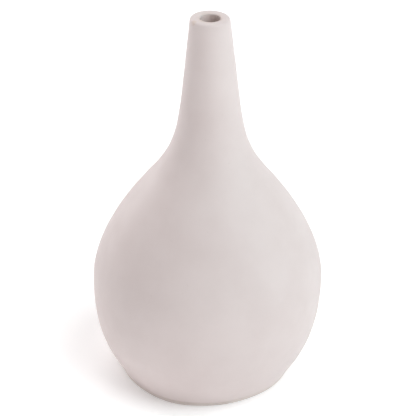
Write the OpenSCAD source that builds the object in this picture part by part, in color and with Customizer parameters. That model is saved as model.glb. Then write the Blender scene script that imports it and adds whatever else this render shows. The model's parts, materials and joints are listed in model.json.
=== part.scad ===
// Bud vase: a round-bellied stoneware bottle with a slender neck and a one-stem mouth.
// It is thrown in four sections, which are luted together with slip on V-shaped seams,
// and then coated: a matt glaze outside and over the lip, a liner glaze inside.
// Millimetres, +Z up, origin at the centre of the foot's resting face.

/* [Overall] */
// Height from the table to the top of the lip
height = 200; // [160:1:250]
// Diameter at the widest point of the belly, over the glaze
belly_d = 120.4; // [98:0.1:150]
// Height of the widest point above the table
belly_z = 53.4; // [40:0.1:68]

/* [Foot] */
// Outer diameter of the foot ring
foot_d = 90.8; // [60:0.2:94]
// Height of the foot ring, below its seam
foot_h = 1.6; // [1.4:0.1:5]
// Width of the foot ring, from its outside to its inside
foot_w = 7; // [5:0.5:12]
// Rounding of the foot ring's two lower edges
foot_round = 0.8; // [0.3:0.1:1.2]
// Lean of the wall where it leaves the foot, in degrees from upright
foot_lean = 29.5; // [20:0.5:40]

/* [Belly] */
// How far the foot's lean carries up the wall, as a share of the climb to the widest point
foot_pull = 0.31; // [0.2:0.01:0.5]
// How long the wall stays upright below the widest point, as a share of the same climb
low_fullness = 0.555; // [0.3:0.005:0.6]
// How long the wall stays upright above the widest point, as a share of the climb to the shoulder
high_fullness = 0.387; // [0.25:0.001:0.6]
// How far the shoulder's slope carries down the wall, as a share of the same climb
shoulder_pull = 0.2; // [0.1:0.01:0.4]
// Thickness of the fired clay wall
wall = 4.2; // [3:0.1:6]
// Thickness of the clay floor
floor_t = 5.5; // [4:0.1:9]
// Reach of the hollow between the floor and the wall
floor_fillet = 9; // [5:0.5:14]

/* [Neck] */
// Outer diameter at the seam where the neck sits on the shoulder
seam_d = 66.5; // [52:0.5:76]
// Height of that seam above the table
seam_z = 110; // [98:0.5:122]
// Slope of the shoulder at the seam, in degrees from upright
seam_lean = 39.3; // [30:0.1:48]
// How far the shoulder's slope carries up the neck, as a share of the climb to its straight top
neck_flare = 0.424; // [0.25:0.002:0.5]
// How far the straight top's line carries down the neck, as a share of the same climb
neck_reach = 0.5; // [0.3:0.01:0.6]
// Length of the neck's straight, tapering top below the lip
taper_l = 33.4; // [28:0.1:42]
// Taper of that top, in degrees from upright
taper_lean = 6.3; // [3:0.1:9]

/* [Mouth] */
// Outer diameter of the lip, over the glaze
mouth_d = 20.1; // [19:0.1:26]
// Diameter of the hole, inside the glaze
throat_d = 10; // [7:0.1:11]
// Length of the hole's straight wall
throat_l = 14; // [8:0.5:18]
// Rounding of the lip's outer edge
lip_round = 1.5; // [1:0.1:2.4]
// Rounding of the lip's inner edge
throat_round = 1; // [0.6:0.1:1.6]

/* [Coats and seams] */
// Thickness of the matt glaze outside
glaze_t = 0.4; // [0.3:0.05:0.5]
// Thickness of the liner glaze inside
liner_t = 0.3; // [0.2:0.05:0.5]
// Thickness of the slip in each seam
slip_t = 0.6; // [0.4:0.1:1]
// Height of the ridge that keys each seam
ridge_h = 1.2; // [0.6:0.1:1.4]

/* [Hidden] */
$fn = 96;
steps = 24;       // straight pieces in each long curve of the outline
arc_steps = 5;    // straight pieces in each rounded edge
passage_pull = 0.4;   // reach of the passage's two handles, as a share of its climb

foot_r = foot_d / 2;
belly_r = belly_d / 2;
seam_r = seam_d / 2;
base_z = foot_h + slip_t;                       // underside of the floor
floor_z = base_z + floor_t;                     // top of the clay floor
fillet_z = floor_z + floor_fillet / 2;          // where the floor's fillet meets the wall
inside = glaze_t + wall;                        // the clay's inner face, measured in from the glaze
throat_r = throat_d / 2;                        // finished hole, over the coats
throat_clay_r = throat_r + glaze_t;             // the same hole in the bare clay
throat_top = height - throat_round;             // upper end of the straight hole
throat_z = throat_top - throat_l;               // lower end of the straight hole

// Directions on the outline, which is drawn in radius and height
function climb(lean) = [sin(lean), cos(lean)];
function inward(direction) = [-direction.y, direction.x];
function on_arc(centre, r, angle) = centre + r * [cos(angle), sin(angle)];
function reversed(points) = [for (i = [len(points) - 1 : -1 : 0]) points[i]];
// A line's points without some of those at its start and at its end
function trimmed(points, start, end) = [for (i = [start : len(points) - 1 - end]) points[i]];

// A cubic curve through four handles, and a line at a distance inside it
function place(h, t) =
    (1 - t)^3 * h[0] + 3 * t * (1 - t)^2 * h[1] + 3 * t^2 * (1 - t) * h[2] + t^3 * h[3];
function heading(h, t) =
    let (d = (1 - t)^2 * (h[1] - h[0]) + 2 * t * (1 - t) * (h[2] - h[1]) + t^2 * (h[3] - h[2]))
    d / norm(d);
function curve(h, inset = 0) =
    [for (i = [0 : steps]) place(h, i / steps) + inset * inward(heading(h, i / steps))];
// A curve between two ends, each with a direction of climb and the reach of its handle
function between(a, a_dir, a_reach, b, b_dir, b_reach) =
    [a, a + a_reach * a_dir, b - b_reach * b_dir, b];

// The outline over the glaze: foot to widest point, widest point to shoulder, shoulder to neck
up = [0, 1];
low_a = [foot_r, base_z] - glaze_t * inward(climb(foot_lean));
low_b = [belly_r, belly_z - slip_t / 2];
low_climb = low_b.y - low_a.y;
low_line = between(low_a, climb(foot_lean), foot_pull * low_climb, low_b, up, low_fullness * low_climb);

high_a = low_b + slip_t * up;
high_b = [seam_r, seam_z];
high_climb = high_b.y - high_a.y;
high_line = between(
    high_a, up, high_fullness * high_climb,
    high_b, climb(-seam_lean), shoulder_pull * high_climb
);

lip_centre = [mouth_d / 2 - lip_round, height - lip_round];
neck_b = on_arc(lip_centre, lip_round, taper_lean) - taper_l * climb(-taper_lean);
neck_a = high_b + slip_t * climb(-seam_lean);
neck_climb = neck_b.y - neck_a.y;
neck_line = between(
    neck_a, climb(-seam_lean), neck_flare * neck_climb,
    neck_b, climb(-taper_lean), neck_reach * neck_climb
);

// The lip from its outer edge over the top and into the hole, at a distance inside the glaze
function lip(inset) = concat(
    [for (i = [0 : arc_steps])
        on_arc(lip_centre, lip_round - inset, taper_lean + (90 - taper_lean) * i / arc_steps)],
    [for (i = [0 : arc_steps])
        on_arc([throat_r + throat_round, throat_top], throat_round - inset, 90 + 90 * i / arc_steps)]
);

// The neck's passage from the end of the wall's curve up to the straight hole of radius r
function passage(r, inset = 0) =
    let (a = neck_b + (inside + inset) * inward(climb(-taper_lean)),
         b = [r, throat_z],
         reach = passage_pull * (b.y - a.y))
    curve(between(a, climb(-taper_lean), reach, b, up, reach));

// The hollow's line inside the belly, from the middle of the floor up to the belly seam
clay_low = curve(low_line, inside);
first = [for (i = [0 : steps]) if (clay_low[i].y > fillet_z) i][0];
function hollow_low(inset) =
    let (side = curve(low_line, inside + inset),
         end = side[first],
         lean = heading(low_line, first / steps),
         corner = [end.x - (end.y - floor_z - inset) * lean.x / lean.y, floor_z + inset])
    concat(
        [[0, corner.y]],
        [for (i = [0 : arc_steps - 1])
            let (t = i / arc_steps)
            (1 - t)^2 * (corner - [floor_fillet, 0]) + 2 * t * (1 - t) * corner + t^2 * end],
        trimmed(side, first, 0)
    );

// Crest of the ridge that keys a seam, between the outer and inner edges of the clay
function crest(outer, inner, direction) = (outer + inner) / 2 + ridge_h * direction;
function seam(a, direction) =
    let (outer = a + glaze_t * inward(direction),
         inner = outer + wall * inward(direction))
    [outer, crest(outer, inner, direction), inner];

foot_seam = [[foot_r, foot_h], [foot_r - foot_w / 2, foot_h + ridge_h], [foot_r - foot_w, foot_h]];
belly_seam = seam(low_b, up);
neck_seam = seam(high_b, climb(-seam_lean));

// A seam moved through the thickness of its slip
function raised(edge, direction) = [for (p = edge) p + slip_t * direction];

module turned(points) {
    rotate_extrude() polygon(points);
}

module slip_ring(edge, direction) {
    color("#b9a08f") turned(concat(edge, reversed(raised(edge, direction))));
}

module foot_ring() {
    round_in = [foot_r - foot_w + foot_round, foot_round];
    round_out = [foot_r - foot_round, foot_round];
    color("#cdb9ab") turned(concat(
        [for (i = [0 : arc_steps]) on_arc(round_in, foot_round, 180 + 90 * i / arc_steps)],
        [for (i = [0 : arc_steps]) on_arc(round_out, foot_round, 270 + 90 * i / arc_steps)],
        foot_seam
    ));
}

module foot_slip() {
    slip_ring(foot_seam, up);
}

module lower_body() {
    color("#d6c6bb") turned(concat(
        [[0, base_z]],
        reversed(raised(foot_seam, up)),
        trimmed(curve(low_line, glaze_t), 1, 1),
        belly_seam,
        reversed(trimmed(hollow_low(0), 0, 1))
    ));
}

module belly_slip() {
    slip_ring(belly_seam, up);
}

module upper_body() {
    color("#d2c1b6") turned(concat(
        reversed(raised(belly_seam, up)),
        trimmed(curve(high_line, glaze_t), 1, 1),
        neck_seam,
        reversed(trimmed(curve(high_line, inside), 1, 1))
    ));
}

module neck_slip() {
    slip_ring(neck_seam, climb(-seam_lean));
}

module neck() {
    color("#cebcb0") turned(concat(
        reversed(raised(neck_seam, climb(-seam_lean))),
        trimmed(curve(neck_line, glaze_t), 1, 0),
        lip(glaze_t),
        reversed(passage(throat_clay_r)),
        reversed(trimmed(curve(neck_line, inside), 1, 1))
    ));
}

module outer_glaze() {
    color("#e6dcd8") turned(concat(
        curve(low_line), curve(high_line), curve(neck_line), lip(0),
        reversed(lip(glaze_t)),
        reversed(curve(neck_line, glaze_t)),
        reversed(curve(high_line, glaze_t)),
        reversed(curve(low_line, glaze_t))
    ));
}

module liner_glaze() {
    color("#a8968a") turned(concat(
        hollow_low(0), curve(high_line, inside),
        trimmed(curve(neck_line, inside), 0, 1), passage(throat_clay_r),
        [[throat_clay_r, throat_top], [throat_r, throat_top]],
        reversed(passage(throat_r, liner_t)),
        reversed(trimmed(curve(neck_line, inside + liner_t), 0, 1)),
        reversed(curve(high_line, inside + liner_t)),
        reversed(hollow_low(liner_t))
    ));
}

foot_ring();
foot_slip();
lower_body();
belly_slip();
upper_body();
neck_slip();
neck();
outer_glaze();
liner_glaze();
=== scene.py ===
"""Bud vase: a matt off-white bottle with a slender neck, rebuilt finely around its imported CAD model."""

import json
import math

import bmesh
import bpy
import numpy as np
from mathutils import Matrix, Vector


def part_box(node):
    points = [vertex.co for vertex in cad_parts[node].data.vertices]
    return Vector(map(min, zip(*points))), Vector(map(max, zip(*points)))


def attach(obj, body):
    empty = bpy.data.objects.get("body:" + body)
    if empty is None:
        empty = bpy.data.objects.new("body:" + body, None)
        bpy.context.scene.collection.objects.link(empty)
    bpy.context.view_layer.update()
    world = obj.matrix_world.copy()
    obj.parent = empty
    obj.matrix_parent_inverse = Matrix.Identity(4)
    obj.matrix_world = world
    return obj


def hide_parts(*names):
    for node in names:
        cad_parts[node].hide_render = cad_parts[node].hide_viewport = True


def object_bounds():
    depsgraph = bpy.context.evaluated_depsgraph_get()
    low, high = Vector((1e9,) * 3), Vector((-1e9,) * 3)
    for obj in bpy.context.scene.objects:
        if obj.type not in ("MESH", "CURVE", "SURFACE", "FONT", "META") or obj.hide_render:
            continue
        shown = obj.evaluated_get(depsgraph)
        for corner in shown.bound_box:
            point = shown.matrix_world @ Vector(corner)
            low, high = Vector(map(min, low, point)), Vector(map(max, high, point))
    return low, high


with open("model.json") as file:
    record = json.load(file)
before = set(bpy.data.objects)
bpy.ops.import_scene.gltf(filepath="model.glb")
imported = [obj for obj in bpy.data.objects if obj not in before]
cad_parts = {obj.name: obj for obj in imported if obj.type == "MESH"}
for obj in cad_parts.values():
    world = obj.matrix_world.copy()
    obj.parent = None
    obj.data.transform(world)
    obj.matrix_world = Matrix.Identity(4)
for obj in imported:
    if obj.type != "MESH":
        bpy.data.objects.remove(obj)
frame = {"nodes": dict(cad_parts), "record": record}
CAD_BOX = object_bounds()

# ---------------------------------------------------------------- sizes, in metres, and angles, in radians

MM = 0.001
TINY = MM / 1000
NO_LENGTH = TINY / 1000
HEIGHT = CAD_BOX[1][2] - CAD_BOX[0][2]
CENTRE = Vector((0, 0, HEIGHT / 2))
FRONT = -math.pi / 2                        # the direction of the photograph's camera, around the axis
FOOT_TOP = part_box("foot_slip")[0].z         # top of the foot's upright band
FOOT_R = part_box("foot_ring")[1].x
HOLE_R = next(m["dims"]["r_mm"] for m in frame["record"]["mounts"] if m["name"] == "mouth") * MM

CORNER = 35.0                               # an outline that turns by more degrees than this has a corner
FOLDED = 175.0                              # and by more than this it has doubled back, so it is left alone
ROUND_POINTS = 6                            # points along a rounded corner

BOW = 1.1 * MM                              # how far the axis leans to +X, at most
BOW_RISE = 1.15                             # above 1, the lean is greatest above the middle
THROWING = 0.035 * MM                       # height of the throwing rings
RING_LENGTH = 2.1 * MM                      # one ring in 2 pi of these
RING_TILT = 1.5                             # how much the rings climb around the vase
RING_DRIFT = 2.0                            # how uneven their spacing is
DRIFT_LENGTH = 17 * MM
RINGS_END = 20 * MM                         # the rings and the ovalness fade out this far below the lip
RINGS_START = 12 * MM                       # and this far above the table
OVAL = 0.0012                               # share of the radius
OVAL_TURN = 0.7
OVAL_TWIST = 1.2
UNEVEN_TOP = 14 * MM                        # the foot is uneven up to here
PRESSED = 1.2 * MM                          # the foot bulges in front, to the left,
PRESSED_AT = FRONT - 0.39
PRESSED_WIDTH = 0.32
TRIMMED = 0.6 * MM                          # and is cut in a little, to the right
TRIMMED_AT = FRONT + 0.58
TRIMMED_WIDTH = 0.35

# ---------------------------------------------------------------- colours and marks

GLAZE_PALE = (0.686, 0.598, 0.584)
GLAZE_DEEP = (0.658, 0.568, 0.554)
GLAZE_THIN = (0.58, 0.44, 0.34)
SPECK = (0.30, 0.22, 0.17)
SCUFF = (0.40, 0.36, 0.35)
LINER_DEEP = (0.29, 0.215, 0.19)
LINER_PALE = (0.41, 0.315, 0.28)
# pale liner at the mouth: partly outer glaze flowed over it, partly painted light on the hole's inner wall
LINER_MOUTH_AND_LIGHT = (0.88, 0.76, 0.73)
CLAY_DEEP = (0.68, 0.595, 0.56)
CLAY_PALE = (0.76, 0.68, 0.645)
SLIP_DEEP = (0.63, 0.545, 0.505)
SLIP_PALE = (0.70, 0.615, 0.575)
SHADE_PATCH_IN_HOLE = (-0.0048, -0.0012, HEIGHT - 0.0025)    # painted shade: a dark patch on the liner, inside the hole on the left
LIP_SPOT = (-0.0078, -0.0052, HEIGHT - 0.0006)      # tan spot on the lip's left edge

# ---------------------------------------------------------------- camera and light

ELEVATION = math.radians(29.0)
DISTANCE = 4.5 * HEIGHT
LENS = 150.7                                # mm, on a sensor of SENSOR mm
SENSOR = 36
ROLL = math.radians(0.87)
ASIDE = 0.4 * MM                            # the camera stands this far to +X
AIM_DROP = 0.034 * HEIGHT                   # and looks this far below the middle
LIGHT_DISTANCE = 3.5
HORIZON = 1.0                               # the world's strength near the horizon
OVERHEAD = 0.2                              # and above
FLOOR_HALF = 5.0
FLOOR_GLOW = 0.24                           # the floor's own light around the vase
FLOOR_FAR = 0.7                             # and far away
FLOOR_COLOUR = (0.95, 0.935, 0.935)


# ---------------------------------------------------------------- shape

def seam_outline(node):
    """A turned CAD node's outline as ordered (radius, height) rows, and whether it is a closed loop.

    An outline that isn't a loop starts and ends on the axis, in the middle of a flat disc.
    """
    mesh = bmesh.new()
    mesh.from_mesh(frame["nodes"][node].data)
    bmesh.ops.remove_doubles(mesh, verts=mesh.verts, dist=TINY)
    seam = {v for v in mesh.verts if abs(v.co.y) < TINY and v.co.x > -TINY}
    links = {v: [e.other_vert(v) for e in v.link_edges if e.other_vert(v) in seam] for v in seam}
    ends = sorted((v for v in seam if len(links[v]) == 1), key=lambda v: v.co.z)
    chain = [ends[0] if ends else min(seam, key=lambda v: (v.co.z, v.co.x))]
    used = set(chain)
    while True:
        ahead = [v for v in links[chain[-1]] if v not in used]
        if not ahead:
            break
        chain.append(ahead[0])
        used.add(ahead[0])
    outline = np.array([[max(v.co.x, 0.0), v.co.z] for v in chain])
    mesh.free()
    if ends:
        first, last = outline[0, 1], outline[-1, 1]
        outline = np.vstack([[0.0, first], outline[outline[:, 0] > TINY], [0.0, last]])
    return outline, not ends


def turn_angles(points, closed):
    """How sharply the outline turns at each point, in degrees."""
    before = points - np.roll(points, 1, axis=0)
    after = np.roll(points, -1, axis=0) - points
    cross = before[:, 0] * after[:, 1] - before[:, 1] * after[:, 0]
    dot = (before * after).sum(axis=1)
    angles = np.degrees(np.abs(np.arctan2(cross, dot)))
    if not closed:
        angles[[0, -1]] = 180.0
    return angles


def softened(points, closed, radius):
    """The outline with each corner rounded off."""
    angles = turn_angles(points, closed)
    out = []
    for i, p in enumerate(points):
        if angles[i] < CORNER or angles[i] > FOLDED:
            out.append(p)
            continue
        ends = []
        for other in (points[i - 1], points[(i + 1) % len(points)]):
            length = np.linalg.norm(other - p)
            ends.append(p + (other - p) / length * min(radius, length / 3))
        for t in np.linspace(0, 1, ROUND_POINTS):
            out.append((1 - t) ** 2 * ends[0] + 2 * t * (1 - t) * p + t ** 2 * ends[1])
    return np.array(out)


def refined(points, closed, step):
    """A smooth curve through the outline's points, about one point each `step`, with its corners kept.

    Each stretch is a centripetal Catmull-Rom curve, which goes on straight past a corner.
    """
    n = len(points)
    angles = turn_angles(points, closed)
    out = []
    for i in range(n if closed else n - 1):
        p1, p2 = points[i], points[(i + 1) % n]
        p0 = points[i - 1] if angles[i] < CORNER else 2 * p1 - p2
        p3 = points[(i + 2) % n] if angles[(i + 1) % n] < CORNER else 2 * p2 - p1
        lengths = [np.linalg.norm(b - a) for a, b in ((p0, p1), (p1, p2), (p2, p3))]
        k1, k2, k3 = (max(length, NO_LENGTH) ** 0.5 for length in lengths)
        m1 = (p2 - p1) - k2 * ((p2 - p0) / (k1 + k2) - (p1 - p0) / k1)
        m2 = (p2 - p1) - k2 * ((p3 - p1) / (k2 + k3) - (p3 - p2) / k3)
        count = max(1, int(round(np.linalg.norm(p2 - p1) / step)))
        for t in np.arange(count) / count:
            out.append((2 * t**3 - 3 * t**2 + 1) * p1 + (t**3 - 2 * t**2 + t) * m1
                       + (3 * t**2 - 2 * t**3) * p2 + (t**3 - t**2) * m2)
    if not closed:
        out.append(points[-1])
    return np.clip(out, [0.0, points[:, 1].min()], points.max(axis=0))


def lobe(angle, centre, width):
    """A smooth bump around one direction: 1 at `centre`, gone a couple of widths away."""
    away = (angle - centre + math.pi) % (2 * math.pi) - math.pi
    return np.exp(-(away / width) ** 2)


def by_hand(co):
    """Moves points as the thrower's hands left them: a bowed axis, ovalness, rings and an uneven foot."""
    x, y, z = co.T
    radius = np.hypot(x, y)
    angle = np.arctan2(y, x)
    share = np.clip(z / HEIGHT, 0, 1)
    fade = np.clip((HEIGHT - z) / RINGS_END, 0, 1) * np.clip(z / RINGS_START, 0, 1)
    climb = RING_TILT * np.sin(angle + 1.0) + RING_DRIFT * np.sin(z / DRIFT_LENGTH)
    rings = THROWING * np.sin(z / RING_LENGTH + climb)
    oval = OVAL * radius * np.cos(2 * angle + OVAL_TURN + OVAL_TWIST * share)
    low = np.clip(1 - z / UNEVEN_TOP, 0, 1) ** 2 * np.clip(radius / FOOT_R, 0, 1) ** 3
    bulge = PRESSED * lobe(angle, PRESSED_AT, PRESSED_WIDTH)
    dent = TRIMMED * lobe(angle, TRIMMED_AT, TRIMMED_WIDTH)
    grown = radius + fade * (rings + oval) + low * (bulge - dent)
    bow = BOW * np.sin(math.pi * share ** BOW_RISE)
    return np.column_stack([grown * np.cos(angle) + bow, grown * np.sin(angle), z])


def turned(name, node, slot, segments, step, soft=0.0):
    """A fine copy of a turned CAD node, which it replaces, in one closed smooth mesh."""
    outline, closed = seam_outline(node)
    if soft:
        outline = softened(outline, closed, soft)
    outline = refined(outline, closed, step)
    sharp = turn_angles(outline, closed) > CORNER
    mesh = bmesh.new()
    around = np.arange(segments) * 2 * math.pi / segments
    rings = []
    for r, z in outline:
        if r < TINY:
            ring = np.array([[0.0, 0.0, z]])
        else:
            ring = np.column_stack([r * np.cos(around), r * np.sin(around), np.full(segments, z)])
        rings.append([mesh.verts.new(c) for c in by_hand(ring)])
    pairs = list(zip(rings, rings[1:])) + ([(rings[-1], rings[0])] if closed else [])
    for a, b in pairs:
        for i in range(segments):
            j = (i + 1) % segments
            corners = [a[i % len(a)], a[j % len(a)], b[j % len(b)], b[i % len(b)]]
            mesh.faces.new(list(dict.fromkeys(corners)))
    for ring, hard in zip(rings, sharp):
        if hard and len(ring) > 1:
            for i, v in enumerate(ring):
                mesh.edges.get((v, ring[(i + 1) % segments])).smooth = False
    for face in mesh.faces:
        face.smooth = True
    bmesh.ops.recalc_face_normals(mesh, faces=mesh.faces)
    piece = added(name, mesh, MATERIALS[slot])
    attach(piece, "root")
    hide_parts(node)
    return piece


def added(name, mesh, material):
    """A new object in the scene with the bmesh's shape, which is used up, and one material."""
    data = bpy.data.meshes.new(name)
    mesh.to_mesh(data)
    mesh.free()
    data.materials.append(material)
    made = bpy.data.objects.new(name, data)
    bpy.context.scene.collection.objects.link(made)
    return made


# ---------------------------------------------------------------- materials

class Nodes:
    """A material's node tree with short calls to add to it."""

    def __init__(self, name):
        self.material = bpy.data.materials.new(name)
        self.material.use_nodes = True
        self.tree = self.material.node_tree
        self.tree.nodes.clear()
        out = self.add("ShaderNodeOutputMaterial")
        self.shader = self.add("ShaderNodeBsdfPrincipled")
        self.link(self.shader.outputs["BSDF"], out.inputs["Surface"])
        self.place = self.add("ShaderNodeNewGeometry").outputs["Position"]

    def add(self, kind, **settings):
        node = self.tree.nodes.new(kind)
        for key, value in settings.items():
            setattr(node, key, value)
        return node

    def link(self, a, b):
        self.tree.links.new(a, b)

    def feed(self, name, value):
        """Sets or links one of the shader's own inputs."""
        self.plug(self.shader.inputs[name], value)

    def plug(self, socket, value):
        if isinstance(value, tuple):
            socket.default_value = (*value, 1.0)
        elif isinstance(value, (int, float)):
            socket.default_value = value
        else:
            self.link(value, socket)

    def noise(self, scale, detail=3.0, roughness=0.5, stretch=None):
        """Noise from 0 to 1, with features of about 1 / scale metres."""
        node = self.add("ShaderNodeTexNoise")
        node.inputs["Scale"].default_value = scale
        node.inputs["Detail"].default_value = detail
        node.inputs["Roughness"].default_value = roughness
        place = self.place
        if stretch:
            mapping = self.add("ShaderNodeMapping")
            mapping.inputs["Scale"].default_value = stretch
            self.link(place, mapping.inputs["Vector"])
            place = mapping.outputs["Vector"]
        self.link(place, node.inputs["Vector"])
        return node.outputs["Fac"]

    def spread(self, value, low, high, to_low=0.0, to_high=1.0):
        """`value` from low to high, smoothly turned into to_low to to_high."""
        node = self.add("ShaderNodeMapRange", clamp=True, interpolation_type="SMOOTHSTEP")
        self.link(value, node.inputs["Value"])
        for key, number in (("From Min", low), ("From Max", high), ("To Min", to_low), ("To Max", to_high)):
            node.inputs[key].default_value = number
        return node.outputs["Result"]

    def math(self, operation, a, b):
        node = self.add("ShaderNodeMath", operation=operation)
        self.plug(node.inputs[0], a)
        self.plug(node.inputs[1], b)
        return node.outputs["Value"]

    def blend(self, share, a, b):
        """Colour a where `share` is 0 and colour b where it is 1."""
        node = self.add("ShaderNodeMix", data_type="RGBA")
        self.plug(node.inputs["Factor"], share)
        self.plug(node.inputs["A"], a)
        self.plug(node.inputs["B"], b)
        return node.outputs["Result"]

    def away_from(self, point, stretch=(1, 1, 1)):
        """Distance from a point, with each axis weighed by `stretch`."""
        gap = self.add("ShaderNodeVectorMath", operation="SUBTRACT")
        self.link(self.place, gap.inputs[0])
        gap.inputs[1].default_value = point
        weighed = self.add("ShaderNodeVectorMath", operation="MULTIPLY")
        self.link(gap.outputs["Vector"], weighed.inputs[0])
        weighed.inputs[1].default_value = stretch
        length = self.add("ShaderNodeVectorMath", operation="LENGTH")
        self.link(weighed.outputs["Vector"], length.inputs[0])
        return length.outputs["Value"]

    def height(self):
        node = self.add("ShaderNodeSeparateXYZ")
        self.link(self.place, node.inputs["Vector"])
        return node.outputs["Z"]

    def bump(self, value, depth, strength=1.0, under=None):
        node = self.add("ShaderNodeBump")
        node.inputs["Strength"].default_value = strength
        node.inputs["Distance"].default_value = depth
        self.link(value, node.inputs["Height"])
        if under:
            self.link(under, node.inputs["Normal"])
        return node.outputs["Normal"]


def matt_glaze():
    """Smooth, nearly even off-white glaze that thins to the clay's tan at the hole's edge and the foot."""
    n = Nodes("matt_glaze")
    colour = n.blend(n.spread(n.noise(28, 4, 0.55), 0.35, 0.65), GLAZE_DEEP, GLAZE_PALE)
    edge = n.spread(n.away_from((0, 0, HEIGHT), (1, 1, 0.2)), HOLE_R + 2.6 * MM, HOLE_R + 0.4 * MM)
    edge = n.math("MULTIPLY", edge, n.spread(n.height(), HEIGHT - 4 * MM, HEIGHT - 2 * MM))
    patchy = n.spread(n.noise(170, 2, 0.5), 0.35, 0.62, 0.05, 0.35)
    colour = n.blend(n.math("MULTIPLY", edge, patchy), colour, GLAZE_THIN)
    spot = n.spread(n.away_from(LIP_SPOT), 2.2 * MM, 0.3 * MM, 0.0, 0.6)
    broken = n.spread(n.noise(700, 2, 0.5), 0.3, 0.6, 0.4, 1.0)
    colour = n.blend(n.math("MULTIPLY", spot, broken), colour, GLAZE_THIN)
    foot = n.spread(n.height(), FOOT_TOP + 1.4 * MM, FOOT_TOP + 0.3 * MM, 0.0, 0.22)
    colour = n.blend(foot, colour, GLAZE_THIN)
    speck = n.spread(n.noise(900, 1, 0.4), 0.75, 0.81, 0.0, 0.12)
    colour = n.blend(speck, colour, SPECK)
    n.feed("Base Color", colour)
    n.feed("Roughness", n.spread(n.noise(160, 3, 0.6), 0.3, 0.7, 0.48, 0.6))
    n.feed("Specular IOR Level", 0.45)
    silk = n.bump(n.noise(1400, 2, 0.6), 0.012 * MM)
    n.feed("Normal", n.bump(n.noise(45, 2, 0.5), 0.1 * MM, 0.5, silk))
    return n.material


def liner_glaze():
    """Thin glossy liner, grey-brown below and pale at the mouth, partly where the outer glaze has flowed
    over it and partly as painted light on the hole's inner wall, with a patch of painted shade inside the
    hole on the left.
    """
    n = Nodes("liner_glaze")
    deep = n.blend(n.spread(n.noise(60, 4, 0.6), 0.35, 0.7), LINER_DEEP, LINER_PALE)
    # paler towards the mouth: partly outer glaze flowed over the liner, partly painted light inside the
    # hole
    mouth_and_light = n.math("ADD", n.height(), n.spread(n.noise(90, 3, 0.5), 0.3, 0.7, -1.5 * MM, 1.5 * MM))
    colour = n.blend(n.spread(mouth_and_light, HEIGHT - 14 * MM, HEIGHT - 2 * MM), deep, LINER_MOUTH_AND_LIGHT)
    # painted shade: the liner is darkened on the left inside the hole, where shade falls
    painted_shade = n.spread(n.away_from(SHADE_PATCH_IN_HOLE, (1, 1, 0.6)), 3.4 * MM, 1.2 * MM)
    colour = n.blend(painted_shade, colour, LINER_DEEP)
    n.feed("Base Color", colour)
    n.feed("Roughness", n.spread(n.noise(220, 2, 0.5), 0.3, 0.7, 0.2, 0.36))
    n.feed("Normal", n.bump(n.noise(120, 2, 0.5), 0.1 * MM))
    return n.material


def bare(name, deep, pale, speck_share):
    """Unglazed clay or slip with fine grog, a dry surface and a scuffed edge where it meets the table."""
    n = Nodes(name)
    colour = n.blend(n.spread(n.noise(70, 5, 0.6), 0.3, 0.7), deep, pale)
    grog = n.spread(n.noise(1300, 1, 0.3), 0.66, 0.74)
    colour = n.blend(n.math("MULTIPLY", grog, speck_share), colour, SPECK)
    broken = n.spread(n.noise(420, 3, 0.6), 0.3, 0.7, 0.15, 0.6)
    worn = n.math("MULTIPLY", n.spread(n.height(), 0.9 * MM, 0.1 * MM), broken)
    colour = n.blend(worn, colour, SCUFF)
    n.feed("Base Color", colour)
    n.feed("Roughness", n.spread(n.noise(300, 3, 0.6), 0.3, 0.7, 0.72, 0.9))
    lines = n.bump(n.noise(14, 2, 0.5, stretch=(1, 1, 60)), 0.12 * MM)
    n.feed("Normal", n.bump(n.noise(1100, 4, 0.7), 0.06 * MM, 1.0, lines))
    return n.material


def floor_paint():
    """A plain pale floor that glows faintly, more so far away, so that no horizon shows."""
    n = Nodes("floor")
    n.feed("Base Color", FLOOR_COLOUR)
    n.feed("Roughness", 0.9)
    n.feed("Specular IOR Level", 0.0)
    n.feed("Emission Color", (1.0, 1.0, 1.0))
    n.feed("Emission Strength", n.spread(n.away_from((0, 0, 0)), 0.8, 3.5, FLOOR_GLOW, FLOOR_FAR))
    return n.material


MATERIALS = {
    "matt_glaze": matt_glaze(),
    "liner_glaze": liner_glaze(),
    "clay": bare("clay", CLAY_DEEP, CLAY_PALE, 0.3),
    "slip": bare("slip", SLIP_DEEP, SLIP_PALE, 0.2),
}


# ---------------------------------------------------------------- camera, lights, floor

def make_camera():
    """The photograph's view: from above, far away, with a long lens."""
    centre = CENTRE + Vector((ASIDE, 0, 0))
    data = bpy.data.cameras.new("camera")
    data.lens = LENS
    data.sensor_width = SENSOR
    camera = bpy.data.objects.new("camera", data)
    camera.location = centre + DISTANCE * Vector((0, -math.cos(ELEVATION), math.sin(ELEVATION)))
    aim = centre - Vector((0, 0, AIM_DROP))
    camera.rotation_euler = (aim - camera.location).to_track_quat("-Z", "Y").to_euler()
    camera.rotation_euler.rotate_axis("Z", ROLL)
    bpy.context.scene.collection.objects.link(camera)
    bpy.context.scene.camera = camera


def soft_box(name, azimuth, elevation, width, height, power, colour):
    """A soft box that faces the middle of the vase; azimuth 0 is the camera's side, 90 its right."""
    a, e = math.radians(azimuth), math.radians(elevation)
    data = bpy.data.lights.new(name, "AREA")
    data.shape = "RECTANGLE"
    data.size = width
    data.size_y = height
    data.energy = power
    data.color = colour
    lamp = bpy.data.objects.new(name, data)
    toward = Vector((math.sin(a) * math.cos(e), -math.cos(a) * math.cos(e), math.sin(e)))
    lamp.location = CENTRE + LIGHT_DISTANCE * toward
    lamp.rotation_euler = (-toward).to_track_quat("-Z", "Y").to_euler()
    lamp.visible_camera = False
    bpy.context.scene.collection.objects.link(lamp)


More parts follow.
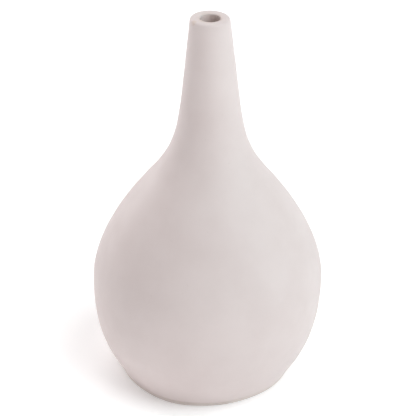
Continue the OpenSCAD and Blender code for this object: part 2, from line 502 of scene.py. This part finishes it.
def make_floor():
    """A wide square of floor under the vase."""
    mesh = bmesh.new()
    signs = ((-1, -1), (1, -1), (1, 1), (-1, 1))
    mesh.faces.new([mesh.verts.new((x * FLOOR_HALF, y * FLOOR_HALF, 0)) for x, y in signs])
    added("floor", mesh, floor_paint())


def make_world():
    """White surroundings, bright along the horizon and dimmer above."""
    world = bpy.data.worlds.new("studio")
    world.use_nodes = True
    tree = world.node_tree
    back = tree.nodes["Background"]
    back.inputs["Color"].default_value = (1, 1, 1, 1)
    place = tree.nodes.new("ShaderNodeTexCoord")
    axes = tree.nodes.new("ShaderNodeSeparateXYZ")
    fade = tree.nodes.new("ShaderNodeMapRange")
    fade.interpolation_type = "SMOOTHSTEP"
    for key, number in (("From Min", 0.12), ("From Max", 0.35), ("To Min", HORIZON), ("To Max", OVERHEAD)):
        fade.inputs[key].default_value = number
    tree.links.new(place.outputs["Generated"], axes.inputs["Vector"])
    tree.links.new(axes.outputs["Z"], fade.inputs["Value"])
    tree.links.new(fade.outputs["Result"], back.inputs["Strength"])
    bpy.context.scene.world = world


bpy.context.scene.view_settings.view_transform = "Standard"
make_camera()
make_floor()
make_world()
soft_box("front_light", 60, 60, 2.4, 2.4, 76, (0.99, 1, 1))
soft_box("side_light", 75, 30, 1.8, 3.2, 20, (0.5, 0.95, 1))
soft_box("rim_light", -135, 14, 0.9, 2.0, 28, (1, 0.99, 0.99))
soft_box("top_light", -150, 60, 2.4, 2.4, 46, (1, 0.99, 0.995))

# ---------------------------------------------------------------- pieces

turned("outer_glaze_coat", "outer_glaze", "matt_glaze", 192, 1.0 * MM, soft=0.15 * MM)
turned("liner_glaze_coat", "liner_glaze", "liner_glaze", 128, 1.5 * MM)
turned("foot_ring_turned", "foot_ring", "clay", 192, 0.5 * MM, soft=0.1 * MM)
turned("foot_slip_ring", "foot_slip", "slip", 192, 0.5 * MM)
turned("lower_body_thrown", "lower_body", "clay", 160, 1.5 * MM)
turned("belly_slip_ring", "belly_slip", "slip", 128, 1.0 * MM)
turned("upper_body_thrown", "upper_body", "clay", 128, 2.0 * MM)
turned("neck_slip_ring", "neck_slip", "slip", 128, 1.0 * MM)
turned("neck_thrown", "neck", "clay", 128, 1.5 * MM)
